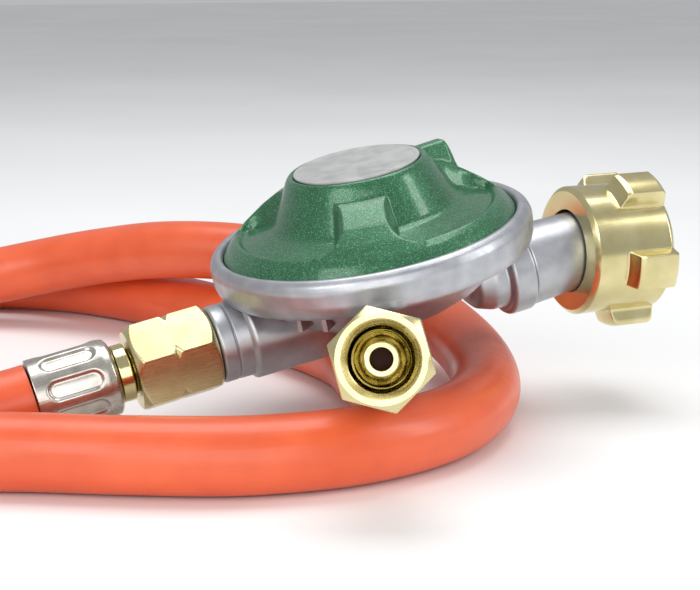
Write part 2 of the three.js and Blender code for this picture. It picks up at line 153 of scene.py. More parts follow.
def place(points, where):
    """Points in millimetres in a piece's own frame, as metres in the model's frame."""
    turn, shift = where
    return (np.asarray(points) @ turn.T + shift) / 1000


# ---- mesh helpers ----
def soften(profile, radius, closed=False, steps=3):
    """An outline of (radius, height) pairs with each corner replaced by a short curve.

    The curve is a parabola between two points a distance radius from the corner, or 0.4 of the
    shorter side. A point just before and after it keeps the shading of the flat stretches even.
    """
    corners = [np.array(p, float) for p in profile]
    count = len(corners)
    out = [] if closed else [corners[0]]
    for i in range(0 if closed else 1, count if closed else count - 1):
        here, before, after = corners[i], corners[i - 1], corners[(i + 1) % count]
        to_before, to_after = before - here, after - here
        reach = min(radius, 0.4 * np.linalg.norm(to_before), 0.4 * np.linalg.norm(to_after))
        start = here + to_before / np.linalg.norm(to_before) * reach
        end = here + to_after / np.linalg.norm(to_after) * reach
        out.append(start + to_before / np.linalg.norm(to_before) * reach * 0.2)
        for u in np.linspace(0, 1, steps + 1):
            out.append((1 - u) ** 2 * start + 2 * u * (1 - u) * here + u * u * end)
        out.append(end + to_after / np.linalg.norm(to_after) * reach * 0.2)
    if not closed:
        out.append(corners[-1])
    return np.array(out)


def rings(profile, columns=96):
    """Rows of points round Z at each (radius, height) pair of the profile."""
    angle = np.linspace(0, 2 * math.pi, columns, endpoint=False)
    radius, height = np.array(profile)[:, 0:1], np.array(profile)[:, 1:2]
    return np.stack([radius * np.cos(angle), radius * np.sin(angle), height + 0 * angle], axis=2)


def skin(rows, closed=False):
    """Vertices and faces through rows of points whose columns run round and close on themselves.

    A row whose points are all one point becomes a single vertex, so a pole is closed. With closed,
    the last row joins the first. The faces point outwards, by the sign of the volume they hold.
    """
    vertices = []
    index = []
    for row in rows:
        if np.ptp(row, axis=0).max() < 1e-6:
            index.append([len(vertices)] * len(row))
            vertices.append(row[0])
        else:
            index.append(range(len(vertices), len(vertices) + len(row)))
            vertices.extend(row)
    index = np.array([list(i) for i in index])
    nxt = np.roll(index, -1, axis=1)
    last = len(rows) if closed else len(rows) - 1
    faces = []
    for r in range(last):
        s = (r + 1) % len(rows)
        for quad in zip(index[r], nxt[r], nxt[s], index[s]):
            face = list(dict.fromkeys(int(v) for v in quad))
            if len(face) > 2:
                faces.append(face)
    vertices = np.array(vertices)
    fans = np.array([(face[0], b, c) for face in faces for b, c in zip(face[1:-1], face[2:])])
    a, b, c = (vertices[fans[:, k]] for k in range(3))
    if np.einsum("ij,ij->", a, np.cross(b, c)) < 0:
        faces = [face[::-1] for face in faces]
    return vertices, faces


def block(x, y, z):
    """A box between pairs of limits, as vertices and faces."""
    corners = np.array([(i, j, k) for i in x for j in y for k in z], float)
    faces = [[0, 1, 3, 2], [4, 6, 7, 5], [0, 4, 5, 1], [2, 3, 7, 6], [0, 2, 6, 4], [1, 5, 7, 3]]
    return corners, faces


def make_piece(name, solids, where, sharp=32):
    """One object from a list of (vertices, faces), smooth except at edges sharper than the angle."""
    vertices, faces, offset = [], [], 0
    for points, polygons in solids:
        vertices.append(place(points, where))
        faces += [[v + offset for v in polygon] for polygon in polygons]
        offset += len(points)
    mesh = bpy.data.meshes.new(name)
    mesh.from_pydata(np.concatenate(vertices).tolist(), [], faces)
    mesh.shade_smooth()
    mesh.set_sharp_from_angle(angle=math.radians(sharp))
    piece = bpy.data.objects.new(name, mesh)
    bpy.context.scene.collection.objects.link(piece)
    return piece


def smooth_max(a, b, reach):
    """The larger of a and b, with a rounded join where they are within reach of each other."""
    near = np.clip(reach - np.abs(a - b), 0, None) / reach
    return np.maximum(a, b) + near * near * reach / 4


def smooth_min(a, b, reach):
    """The smaller of a and b, with the same rounded join."""
    return -smooth_max(-a, -b, reach)


# ---- material helpers ----
def new_material(name, color, roughness, metallic=0.0, coat=0.0):
    material = bpy.data.materials.new(name)
    material.use_nodes = True
    shader = material.node_tree.nodes["Principled BSDF"]
    shader.inputs["Base Color"].default_value = (*color, 1)
    shader.inputs["Roughness"].default_value = roughness
    shader.inputs["Metallic"].default_value = metallic
    shader.inputs["Coat Weight"].default_value = coat
    shader.inputs["Coat Roughness"].default_value = 0.12
    return material, shader


def add(material, kind, settings=None, **sockets):
    """A node with its settings, whose sockets take a value or another node's output."""
    node = material.node_tree.nodes.new("ShaderNode" + kind)
    for key, value in (settings or {}).items():
        setattr(node, key, value)
    for key, value in sockets.items():
        socket = node.inputs[int(key[1:])] if key[1:].isdigit() else node.inputs[key.replace("_", " ")]
        if isinstance(value, bpy.types.NodeSocket):
            material.node_tree.links.new(value, socket)
        else:
            socket.default_value = value
    return node


def object_place(material):
    return add(material, "TexCoord").outputs["Object"]


def noise(material, scale, detail=3.0, vector=None):
    where = object_place(material) if vector is None else vector
    return add(material, "TexNoise", Vector=where, Scale=scale, Detail=detail).outputs["Fac"]


def ramp(material, value, low, high, dark, light):
    """Blends from the dark to the light colour as value goes from low to high."""
    node = add(material, "ValToRGB", Fac=value)
    node.color_ramp.elements[0].position = low
    node.color_ramp.elements[1].position = high
    node.color_ramp.elements[0].color = (*dark, 1)
    node.color_ramp.elements[1].color = (*light, 1)
    return node.outputs["Color"]


def spread(material, value, low, high):
    """The value, from 0 to 1, spread over the range from low to high."""
    return add(material, "MapRange", Value=value, To_Min=low, To_Max=high).outputs["Result"]


def bumpy(material, shader, height, distance, strength=1.0):
    bump = add(material, "Bump", Height=height, Distance=distance, Strength=strength)
    material.node_tree.links.new(bump.outputs["Normal"], shader.inputs["Normal"])


def link(material, output, socket):
    material.node_tree.links.new(output, socket)


def axis_lines(material, where, rings_per_m, streaks):
    """A fine line pattern about a piece's axis: rings as a tool leaves them, or streaks along it.

    Rings are noise that varies with the distance along the axis plus the distance from it. Streaks
    are noise stretched 40 times along the axis.
    """
    turn, shift = where
    axis = turn @ np.array([0, 0, 1])
    shifted = add(material, "VectorMath", {"operation": "SUBTRACT"}, _0=object_place(material),
                  _1=tuple(shift / 1000)).outputs[0]
    along = add(material, "VectorMath", {"operation": "DOT_PRODUCT"}, _0=shifted, _1=tuple(axis))
    part = add(material, "VectorMath", {"operation": "SCALE"}, _0=tuple(axis))
    link(material, along.outputs["Value"], part.inputs["Scale"])
    across = add(material, "VectorMath", {"operation": "SUBTRACT"}, _0=shifted, _1=part.outputs[0])
    if streaks:
        thin = add(material, "VectorMath", {"operation": "SCALE"}, _0=part.outputs[0], Scale=0.025)
        both = add(material, "VectorMath", {"operation": "ADD"}, _0=across.outputs[0],
                   _1=thin.outputs[0])
        return noise(material, rings_per_m, 2.0, both.outputs[0])
    length = add(material, "VectorMath", {"operation": "LENGTH"}, _0=across.outputs[0])
    total = add(material, "Math", {"operation": "ADD"}, _0=along.outputs["Value"],
                _1=length.outputs["Value"])
    return add(material, "TexNoise", {"noise_dimensions": "1D"}, W=total.outputs[0],
               Scale=rings_per_m, Detail=2.0).outputs["Fac"]


# ---- materials ----
def hose_rubber():
    """Semi-gloss orange rubber with fine lengthwise extrusion lines and a faint cloudiness."""
    material, shader = new_material("hose_rubber", (0.78, 0.12, 0.035), 0.34, coat=0.1)
    cloud = noise(material, 90, 3)
    link(material, ramp(material, cloud, 0.35, 0.7, (0.70, 0.10, 0.03), (0.78, 0.125, 0.04)),
         shader.inputs["Base Color"])
    link(material, spread(material, noise(material, 400, 4), 0.28, 0.44), shader.inputs["Roughness"])
    uv = add(material, "UVMap", {"uv_map": "along"}).outputs[0]
    stretched = add(material, "Mapping", Vector=uv, Scale=(8, 60, 1)).outputs[0]
    bumpy(material, shader, noise(material, 1.0, 4, stretched), 0.00012, 0.35)
    shader.inputs["Subsurface Weight"].default_value = 0.04
    shader.inputs["Subsurface Radius"].default_value = (0.002, 0.0006, 0.0003)
    return material


def green_flake():
    """Green paint with fine bright flakes under a clear coat."""
    material, shader = new_material("green_flake", (0.03, 0.15, 0.065), 0.34, metallic=0.4, coat=0.55)
    cells = add(material, "TexVoronoi", Vector=object_place(material), Scale=7000.0)
    value = add(material, "SeparateColor", Color=cells.outputs["Color"])
    base = ramp(material, noise(material, 70, 3), 0.3, 0.75, (0.014, 0.092, 0.036), (0.024, 0.13, 0.056))
    flakes = ramp(material, value.outputs[0], 0.72, 1.0, (0.0, 0.0, 0.0), (0.08, 0.25, 0.135))
    mixed = add(material, "MixRGB", {"blend_type": "ADD"}, Fac=1.0, Color1=base, Color2=flakes)
    link(material, mixed.outputs[0], shader.inputs["Base Color"])
    link(material, spread(material, value.outputs[1], 0.28, 0.46), shader.inputs["Roughness"])
    bumpy(material, shader, value.outputs[2], 0.00001, 0.35)
    return material


def cast_zinc():
    """Die-cast zinc: satin grey, a little blue, with soft mottling, pits and dull patches."""
    material, shader = new_material("cast_zinc", (0.5, 0.51, 0.54), 0.4, metallic=0.92)
    mottle = noise(material, 260, 6)
    link(material, ramp(material, mottle, 0.3, 0.72, (0.40, 0.41, 0.44), (0.52, 0.53, 0.55)),
         shader.inputs["Base Color"])
    link(material, spread(material, noise(material, 600, 5), 0.3, 0.48), shader.inputs["Roughness"])
    bumpy(material, shader, noise(material, 1400, 4), 0.00005, 0.3)
    return material


def brass(name, where, streaks, roughness=0.2, grain=1.0):
    """Bright machined brass with a slight tarnish, and tool lines as strong as the grain."""
    material, shader = new_material(name, (0.78, 0.64, 0.31), roughness, metallic=1.0)
    tarnish = noise(material, 180, 5)
    link(material, ramp(material, tarnish, 0.3, 0.7, (0.62, 0.54, 0.265), (0.74, 0.66, 0.37)),
         shader.inputs["Base Color"])
    lines = axis_lines(material, where, 5000 if streaks else 2600, streaks)
    link(material, spread(material, lines, roughness - 0.07 * grain, roughness + 0.1 * grain),
         shader.inputs["Roughness"])
    bumpy(material, shader, lines, 0.00002, 0.2 * grain)
    return material


def plated_steel(name, where):
    """Warm nickel plating over crimped steel, with light draw marks."""
    material, shader = new_material(name, (0.66, 0.63, 0.56), 0.24, metallic=1.0)
    mottle = noise(material, 220, 4)
    link(material, ramp(material, mottle, 0.3, 0.7, (0.42, 0.39, 0.34), (0.66, 0.63, 0.57)),
         shader.inputs["Base Color"])
    lines = axis_lines(material, where, 5200, True)
    link(material, spread(material, lines, 0.16, 0.4), shader.inputs["Roughness"])
    bumpy(material, shader, lines, 0.00003, 0.4)
    return material


def label_plastic():
    """Light grey satin label with a fine grain and faint cloudy handling marks."""
    material, shader = new_material("label_plastic", (0.56, 0.56, 0.55), 0.38)
    clouds = noise(material, 230, 4)
    link(material, ramp(material, clouds, 0.36, 0.66, (0.34, 0.34, 0.335), (0.45, 0.45, 0.44)),
         shader.inputs["Base Color"])
    link(material, spread(material, noise(material, 900, 3), 0.26, 0.5), shader.inputs["Roughness"])
    bumpy(material, shader, noise(material, 2600, 2), 0.00002, 0.3)
    return material


def black_rubber():
    """Matt black rubber, slightly dusty."""
    material, shader = new_material("black_rubber", (0.02, 0.02, 0.02), 0.7)
    dust = noise(material, 500, 4)
    link(material, ramp(material, dust, 0.4, 0.8, (0.012, 0.012, 0.012), (0.06, 0.06, 0.058)),
         shader.inputs["Base Color"])
    bumpy(material, shader, noise(material, 2500, 3), 0.00004, 0.4)
    return material


def plain_steel():
    """Zinc-plated steel of the inner parts, with a faint grain."""
    material, shader = new_material("plain_steel", (0.56, 0.56, 0.56), 0.32, metallic=1.0)
    mottle = noise(material, 400, 4)
    link(material, ramp(material, mottle, 0.3, 0.7, (0.44, 0.44, 0.45), (0.66, 0.66, 0.65)),
         shader.inputs["Base Color"])
    bumpy(material, shader, noise(material, 3000, 3), 0.00002, 0.4)
    return material


def table_top():
    """Pale matt table."""
    material, shader = new_material("table_top", (0.88, 0.88, 0.87), 0.6)
    shade = noise(material, 6, 2)
    link(material, ramp(material, shade, 0.3, 0.7, (0.85, 0.85, 0.845), (0.9, 0.9, 0.895)),
         shader.inputs["Base Color"])
    return material


def dress(piece, material, body, slot, *nodes):
    """Gives a piece its material, the body it rides on and the nodes it stands for. The slot is not
    used.
    """
    piece.data.materials.append(material)
    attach(piece, body)
    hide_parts(*nodes)
    return piece


# ---- hose ----
def smooth_route(knots, step):
    """A centripetal Catmull-Rom curve through the knots, with points about step apart.

    On each span the curve is the cubic whose end slopes come from the two neighbours, each weighted
    by the square root of the distance between knots. Beyond the ends, the first span is mirrored.
    """
    knots = [np.array(k) for k in knots]
    knots = [2 * knots[0] - knots[1], *knots, 2 * knots[-1] - knots[-2]]
    route = []
    for a, b, c, d in zip(knots, knots[1:], knots[2:], knots[3:]):
        t0, t1, t2 = (math.sqrt(np.linalg.norm(q - p)) for p, q in ((a, b), (b, c), (c, d)))
        slope_b = ((b - a) / t0 - (c - a) / (t0 + t1) + (c - b) / t1) * t1
        slope_c = ((c - b) / t1 - (d - b) / (t1 + t2) + (d - c) / t2) * t1
        count = max(2, round(np.linalg.norm(c - b) / step))
        for t in np.arange(count) / count:
            route.append(b * (2 * t**3 - 3 * t**2 + 1) + slope_b * (t**3 - 2 * t**2 + t)
                         + c * (3 * t**2 - 2 * t**3) + slope_c * (t**3 - t**2))
    route.append(knots[-2])
    return np.array(route)


def carried_frames(route):
    """Two unit vectors across the route at each point, carried along it with no twist."""
    tangents = np.gradient(route, axis=0)
    tangents /= np.linalg.norm(tangents, axis=1)[:, None]
    side = np.cross(tangents[0], (0, 0, 1))
    sides = []
    for tangent in tangents:
        side = side - tangent * np.dot(side, tangent)
        side /= np.linalg.norm(side)
        sides.append(side)
    sides = np.array(sides)
    return sides, np.cross(tangents, sides)


def hose_mesh(route, sides=40):
    """A tube of the hose's radius along the route, with lengths and angles in its UV map.

    Its surface is route + radius x (cos a x side + sin a x other side). It breathes by 0.04 mm in
    slow waves along its length, as extruded rubber does, and its ends are closed.
    """
    side, other = carried_frames(route)
    angle = np.linspace(0, 2 * math.pi, sides, endpoint=False)
    steps = np.linalg.norm(np.diff(route, axis=0), axis=1)
    along = np.concatenate([[0], np.cumsum(steps)])
    radius = (HOSE_R + 0.04 * np.sin(along * 130) * np.sin(along * 47)) / 1000
    around = np.cos(angle)[None, :, None] * side[:, None] + np.sin(angle)[None, :, None] * other[:, None]
    rows = list(route[:, None] + radius[:, None, None] * around)
    ends = [np.repeat(route[:1], sides, axis=0)], [np.repeat(route[-1:], sides, axis=0)]
    vertices, faces = skin([*ends[0], *rows, *ends[1]])
    mesh = bpy.data.meshes.new("hose_tube")
    mesh.from_pydata(vertices.tolist(), [], faces)
    mesh.shade_smooth()
    mesh.set_sharp_from_angle(angle=math.radians(50))
    layer = mesh.uv_layers.new(name="along")
    corner_vertices = np.empty(len(mesh.loops), dtype=np.int32)
    mesh.loops.foreach_get("vertex_index", corner_vertices)
    row = np.clip((corner_vertices - 1) // sides, 0, len(route) - 1)
    column = (corner_vertices - 1) % sides
    uv = np.stack([along[row] * 10, np.abs(column / sides - 0.5)], axis=1)
    layer.data.foreach_set("uv", uv.ravel().astype(np.float32))
    return mesh


def make_hose(far_pieces):
    """The hose, from the outlet's ferrule along its route to the far fitting that lies on it."""
    start, start_in = (place((0, 0, HOSE_START - d), OUTLET_FITTING) for d in (0, 5))
    end, end_in = (place((0, 0, HOSE_START - d), FAR_FITTING) for d in (0, 4))
    route = smooth_route([start, start_in, *HOSE_ROUTE, end_in, end], 0.0025)
    piece = bpy.data.objects.new("hose_tube", hose_mesh(route))
    bpy.context.scene.collection.objects.link(piece)
    dress(piece, hose_rubber(), "regulator", "orange_rubber", "hose")


# ---- hose end fittings, in the frame of the nut's mouth: the hose leaves towards -Z ----
def union_nut(name, where, twist, body, node):
    """A hexagon nut: at each height, the hexagon's outline cut back by two chamfers and a V-notch.

    The hexagon is half the width across flats over cos(angle from the middle of a flat). The bore
    has a left-hand thread, a triangle wave of 0.36 mm in depth that climbs one pitch a turn.
    """
    columns = 240
    angle = np.linspace(0, 2 * math.pi, columns, endpoint=False)
    from_corner = np.mod(angle - math.radians(twist - 90), math.pi / 3) - math.pi / 6
    hexagon = HEX_AF / 2 / np.cos(from_corner)
    middle = -NUT_LENGTH / 2
    limit = [(-NUT_LENGTH, 8.1), (-NUT_LENGTH + 1.7, 10.2), (middle - 1.3, 10.2), (middle, 9.15),
             (middle + 1.3, 10.2), (-1.7, 10.2), (0, 8.1)]
    heights = np.concatenate([
        -np.linspace(0, 2, 12), np.linspace(-2.6, middle + 1.8, 6), middle + np.linspace(1.5, -1.5, 15),
        np.linspace(middle - 1.8, -NUT_LENGTH + 2.6, 6), -NUT_LENGTH + np.linspace(2, 0, 12),
    ])
    rows = []
    for z in heights:
        turned = np.interp(z, *zip(*limit))
        radius = smooth_min(hexagon, turned + 0 * hexagon, 0.25)
        rows.append(np.stack([radius * np.cos(angle), radius * np.sin(angle), z + 0 * angle], axis=1))
    rear = rings([(7.4, -NUT_LENGTH), (4.9, -NUT_LENGTH), (4.8, -NUT_LENGTH + 0.2), (4.8, -12.9),
                  (5.9, -11.9)], columns)
    rows += list(rear)
    for z in np.arange(-11.6, -1.1, 0.22):
        wave = np.abs(np.mod(z / HOSE_THREAD_PITCH - angle / (2 * math.pi), 1) - 0.5) * 2
        radius = 5.95 + 0.36 * wave
        rows.append(np.stack([radius * np.cos(angle), radius * np.sin(angle), z + 0 * angle], axis=1))
    rows += list(rings([(6.3, -0.95), (7.0, -0.12), (7.12, 0.0), (7.5, 0.0)], columns))
    piece = make_piece(name, [skin(rows, closed=True)], where, sharp=38)
    return dress(piece, brass(name + "_brass", where, True, 0.26), body, "brass", node)


def hose_nipple(name, where, node):
    """A turned cone nipple with its flange, neck and barbed tail."""
    tail_end = FERRULE_BOTTOM + 1.5
    profile = [
        (2.05, -2.5), (3.1, -2.5), (5, -6.3), (5.4, -6.6), (5.4, -11.4), (4.5, -12.4),
        (4.5, NECK_TOP), (6, NECK_TOP - 0.4), (6, FERRULE_TOP + 0.3), (3.9, FERRULE_TOP + 0.3),
    ]
    for z in np.arange(FERRULE_TOP - 3, tail_end + 3, -4):
        profile += [(3.6, z), (4.2, z - 0.3), (3.6, z - 3.6)]
    profile += [(3.4, tail_end), (2.05, tail_end)]
    rows = rings(soften(profile, 0.25, closed=True), 96)
    piece = make_piece(name, [skin(rows, closed=True)], where)
    return dress(piece, brass(name + "_brass", where, False, 0.14), "regulator", "brass", node)


def crimped_ferrule(name, where, node):
    """A sleeve with lengthwise dimples round it, each a slot shape pressed CRIMP_DEPTH deep.

    The distance is measured to a line 7.2 mm long down the middle of each dimple. The depth is
    CRIMP_DEPTH x (3 u^2 - 2 u^3), where u goes from 1 at 1.45 mm from the line to 0 at 2.35 mm.
    """
    columns = 256
    angle = np.linspace(0, 2 * math.pi, columns, endpoint=False)
    pitch = 2 * math.pi / CRIMP_COUNT
    across = (np.mod(angle, pitch) - pitch / 2) * FERRULE_R
    middle = (FERRULE_TOP + FERRULE_BOTTOM) / 2 - 0.4
    outer = soften([(4.6, FERRULE_TOP), (6.7, FERRULE_TOP), (7.85, FERRULE_TOP - 0.7),
                    (FERRULE_R, FERRULE_TOP - 2.2), (FERRULE_R, FERRULE_BOTTOM),
                    (7.62, FERRULE_BOTTOM)], 0.35)
    body_rows = [(FERRULE_R, z) for z in np.linspace(FERRULE_TOP - 2.8, FERRULE_BOTTOM + 0.8, 60)]
    outer = [p for p in outer if p[1] > FERRULE_TOP - 2.7] + body_rows + [
        p for p in outer if p[1] < FERRULE_BOTTOM + 0.7]
    rows = []
    for radius, z in outer:
        beyond = max(abs(z - middle) - 3.6, 0)
        distance = np.hypot(across, beyond)
        near = np.clip((2.35 - distance) / 0.9, 0, 1)
        inward = radius - CRIMP_DEPTH * near * near * (3 - 2 * near)
        rows.append(np.stack([inward * np.cos(angle), inward * np.sin(angle), z + 0 * angle], axis=1))
    inside = [(7.5, FERRULE_BOTTOM + 0.2), (7.3, FERRULE_BOTTOM + 3), (7.3, FERRULE_TOP - 2),
              (4.6, FERRULE_TOP - 1.2)]
    rows += list(rings(inside, columns))
    piece = make_piece(name, [skin(rows, closed=True)], where, sharp=40)
    return dress(piece, plated_steel(name + "_plating", where), "regulator", "ferrule_metal", node)


def make_fitting(prefix, where, twist, number):
    """The nut, nipple and ferrule of one hose end, which stand for the nodes with that number."""
    nut = union_nut(prefix + "_nut", where, twist, f"union_nut_{number}", f"union_nut_{number}")
    nipple = hose_nipple(prefix + "_nipple", where, f"hose_nipple_{number}")
    ferrule = crimped_ferrule(prefix + "_ferrule", where, f"ferrule_{number}")
    return [nut, nipple, ferrule]


# ---- cap: a height over the rim plane for every distance and angle ----
def smoothed(points, blur):
    """A function that follows the (distance, height) pairs, blurred over a length in millimetres."""
    fine = np.arange(-2, 34, 0.02)
    heights = np.interp(fine, *zip(*points))
    kernel = np.exp(-0.5 * (np.arange(-1.5, 1.5, 0.02) / blur) ** 2)
    heights = np.convolve(heights, kernel / kernel.sum(), mode="same")
    return lambda r: np.interp(r, fine, heights)


def spoke_distance(radius, angle, start):
    """Distance across from a spoke's middle line, and far away on the hub's other side."""
    turned = angle - math.radians(start)
    return np.where(np.cos(turned) > 0, np.abs(radius * np.sin(turned)), 99.0)


def cap_height(radius, angle):
    """Height of the cap: hub and pocket floors, three spokes whose sides fall 3.2:1, and a nose.

    Each spoke is about 10 mm wide and flares towards the rim by an arc of 6.5 mm radius, so that the
    pockets have round corners. The nose's top is nearly level with the hub and its outer face falls
    4.5:1.
    """
    floor = smoothed([(0, 14.2), (13.55, 14.2), (13.75, HUB_TOP), (14.5, 14.75), (15.3, 13.8),
                      (17.1, 10.0), (19.5, 5.5), (20.6, 4.7), (26.5, 3.0), (27.9, 3.9),
                      (29.6, 2.6), (30.6, 1.3), (31.4, 0.2), (34, -3)], 0.24)
    crest = smoothed([(0, 11.4), (16.4, 11.4), (19, 10.4), (23, 8.0), (27, 5.0),
                      (29.6, 2.6), (31.0, 0.6), (34, -3)], 0.35)
    corner = np.clip(radius - 21.5, 0, 6.5)
    flare = 6.5 - np.sqrt(6.5**2 - corner**2) + 2 * (np.clip(19 - radius, 0, 4) / 4) ** 2
    height = floor(radius)
    for i in range(SPOKE_COUNT):
        distance = spoke_distance(radius, angle, SPOKE_START + 360 / SPOKE_COUNT * i)
        beyond = smooth_max(distance - 4.9 - flare, 0 * distance, 0.7)
        height = smooth_max(height, crest(radius) - 3.2 * beyond, 0.5)
    distance = spoke_distance(radius, angle, SPOKE_START)
    top = 14.35 - 3.5 * smooth_max(distance - 2.2, 0 * distance, 1.4)
    nose = top - 4.5 * smooth_max(radius - 21.9, 0 * radius, 0.9)
    return np.where(radius < 14.4, height, smooth_max(height, nose, 0.7))


def make_cap():
    """The painted cap: cap_height over rings of points, closed by a smooth hollow underside."""
    columns = 440
    angle = np.linspace(0, 2 * math.pi, columns, endpoint=False)
    radii = np.concatenate([
        [0, 5, 10, 13.2], np.arange(13.8, 15.1, 0.13), np.arange(15.15, 20, 0.2),
        np.arange(20.1, 31.2, 0.24), [31.25],
    ])
    rows = []
    for radius in radii:
        height = cap_height(radius + 0 * angle, angle)
        rows.append(np.stack([radius * np.cos(angle), radius * np.sin(angle), height], axis=1))
    under = [(CAP_R, 0.0), (CAP_R, -2.2), (28.5, -2.3), (28.4, -0.4), (24, 1.2), (16, 3.6),
             (13.4, 8.6), (11.4, 13.3), (0, 13.3)]
    rows += list(rings(under, columns))
    piece = make_piece("cap_dome", [skin(rows)], REGULATOR, sharp=55)
    return dress(piece, green_flake(), "regulator", "green_paint", "cap")


def make_label():
    """The blank round label, a thin plate with a fine groove inside its edge."""
    profile = soften([(0, CAP_TOP), (LABEL_R - 1.3, CAP_TOP), (LABEL_R - 1.1, CAP_TOP - 0.12),
                      (LABEL_R - 0.9, CAP_TOP), (LABEL_R, CAP_TOP), (LABEL_R, CAP_TOP - 0.5),
                      (0, CAP_TOP - 0.5)], 0.22)
    piece = make_piece("label_plate", [skin(rings(profile, 128))], REGULATOR)
    return dress(piece, label_plastic(), "regulator", "label", "label_disc")


# ---- casting: rim and bowl, bosses, pipe, ribs and the inside posts ----
def under_the_bowl(points):
    """Points of a boss, kept below the middle of the bowl's wall, so that its inside stays clear."""
    wall = np.interp(np.hypot(points[..., 0], points[..., 1]), [0, 17, 22, 27, 28.5, 60],
                     [-15.9, -15.9, -12.7, -7.6, -4.4, -4.4])
    limited = points.copy()
    limited[..., 2] = np.minimum(points[..., 2], wall)
    return limited


def boss(profile, z, columns=96):
    """A solid turned about a line along X at height z, from (radius, x) pairs, under the bowl."""
    rows = rings(soften(profile, 0.5), columns) @ TO_INLET.T + np.array([0, 0, z])
    return skin(under_the_bowl(rows))


def make_casting():
    """The die-cast body: a dish turned about Z, with bosses along X, ribs, posts and the jet's boss.

    The dish's outline runs from under the bowl, round the rim and its rolled lip, and back inside
    along the diaphragm's seat to the bowl's floor. Each boss is turned about a line along X.
    """
    dish = soften([
        (0, BOWL_BOTTOM), (17, BOWL_BOTTOM), (22.5, -13.4), (27.5, -9.2), (29.3, RIM_BOTTOM),
        (33, RIM_BOTTOM), (33.8, -6.1), (34.4, -4.4), (RIM_R, -1.1),
        (34.0, 0.4), (32.9, 1.25), (31.9, 1.15), (31.45, 0.3), (31.6, 0.3), (31.6, -3.8), (27, -3.8),
        (26, -7), (21.2, -12), (17.2, -15.4), (0, -15.4),
    ], 0.5)
    ribs = []
    for degrees in RIB_ANGLES:
        corners, faces = block((24, 30), (-0.5, 0.5), (-10.6, -6.5))
        c, s = math.cos(math.radians(degrees)), math.sin(math.radians(degrees))
        corners = corners @ np.array([[c, s, 0], [-s, c, 0], [0, 0, 1]])
        ribs.append((corners, faces))
    posts = [block((PIVOT_X - 2.6, PIVOT_X + 2.6), (side * 5.2 - 1.2, side * 5.2 + 1.2),
                   (-15.6, LEVER_Z + 2.6)) for side in (-1, 1)]
    outlet = boss([(0, OUTLET_END + 6.2), (7.9, OUTLET_END + 6.2), (9.2, OUTLET_END + 7.2), (9.4, 4),
                   (0, 5)], OUTLET_Z)
    collar = boss([(0, OUTLET_END), (7.7, OUTLET_END), (8.2, OUTLET_END + 0.5),
                   (8.2, OUTLET_END + 3.2), (7.85, OUTLET_END + 3.45), (8.2, OUTLET_END + 3.7),
                   (8.3, OUTLET_END + 7), (0, OUTLET_END + 8)], OUTLET_Z)
    stub = boss([(0, OUTLET_END - 5.4), (5.2, OUTLET_END - 5.4), (5.6, OUTLET_END - 5),
                 (5.6, OUTLET_END + 1), (0, OUTLET_END + 1)], OUTLET_Z)
    inlet = boss([(0, 18.6), (4.2, 18.8), (6.2, 20.6), (7.4, 24), (7.6, 27), (9.0, 27.1),
                  (9.6, 27.8), (9.6, 32.4), (9.0, 33), (8.4, PIPE_END - 0.4), (8.0, PIPE_END),
                  (0, PIPE_END)], INLET_Z)
    jet = soften([(3.3, 10), (5.4, 10), (5.4, 26), (3.3, 26)], 0.3, closed=True)
    jet_rows = rings(jet, 48) @ TO_INLET.T + np.array([0, 0, SLIDER_Z])
    solids = [skin(rings(dish, 220)), outlet, collar, stub, inlet, skin(jet_rows, closed=True)]
    piece = make_piece("casting", solids + ribs + posts, REGULATOR, sharp=34)
    bevel = piece.modifiers.new("edges", "BEVEL")
    bevel.width = 0.0003
    bevel.segments = 2
    bevel.limit_method = "ANGLE"
    bevel.angle_limit = math.radians(60)
    return dress(piece, cast_zinc(), "regulator", "zinc", "body")


# ---- inlet: spigot, seal and the hand nut with its lugs ----
def make_inlet(brass_finish, rubber):
    """The inlet's spigot, with its collar and spout, and the flat seal in front of the collar."""
    where = along_inlet(0, INLET_Z)
    collar_front = SEAL_X - 0.3
    spout = soften([(3, 38.5), (5.6, 38.5), (5.6, COLLAR_X), (9.6, COLLAR_X), (9.6, collar_front),
                    (5.4, collar_front), (5.4, SEAL_X + 4), (4.6, SEAL_X + 4.8), (3, SEAL_X + 4.8)],
                   0.3, closed=True)
    washer = soften([(5.7, SEAL_X), (8.6, SEAL_X), (8.9, SEAL_X + 0.5), (8.9, SEAL_X + 2),
                     (8.6, SEAL_X + 2.5), (5.7, SEAL_X + 2.5)], 0.3, closed=True)
    spout_piece = make_piece("inlet_spout", [skin(rings(spout, 96), closed=True)], where)
    dress(spout_piece, brass_finish, "regulator", "brass", "inlet_spigot")
    washer_piece = make_piece("inlet_washer", [skin(rings(washer, 96), closed=True)], where)
    dress(washer_piece, rubber, "regulator", "black_rubber", "inlet_seal")


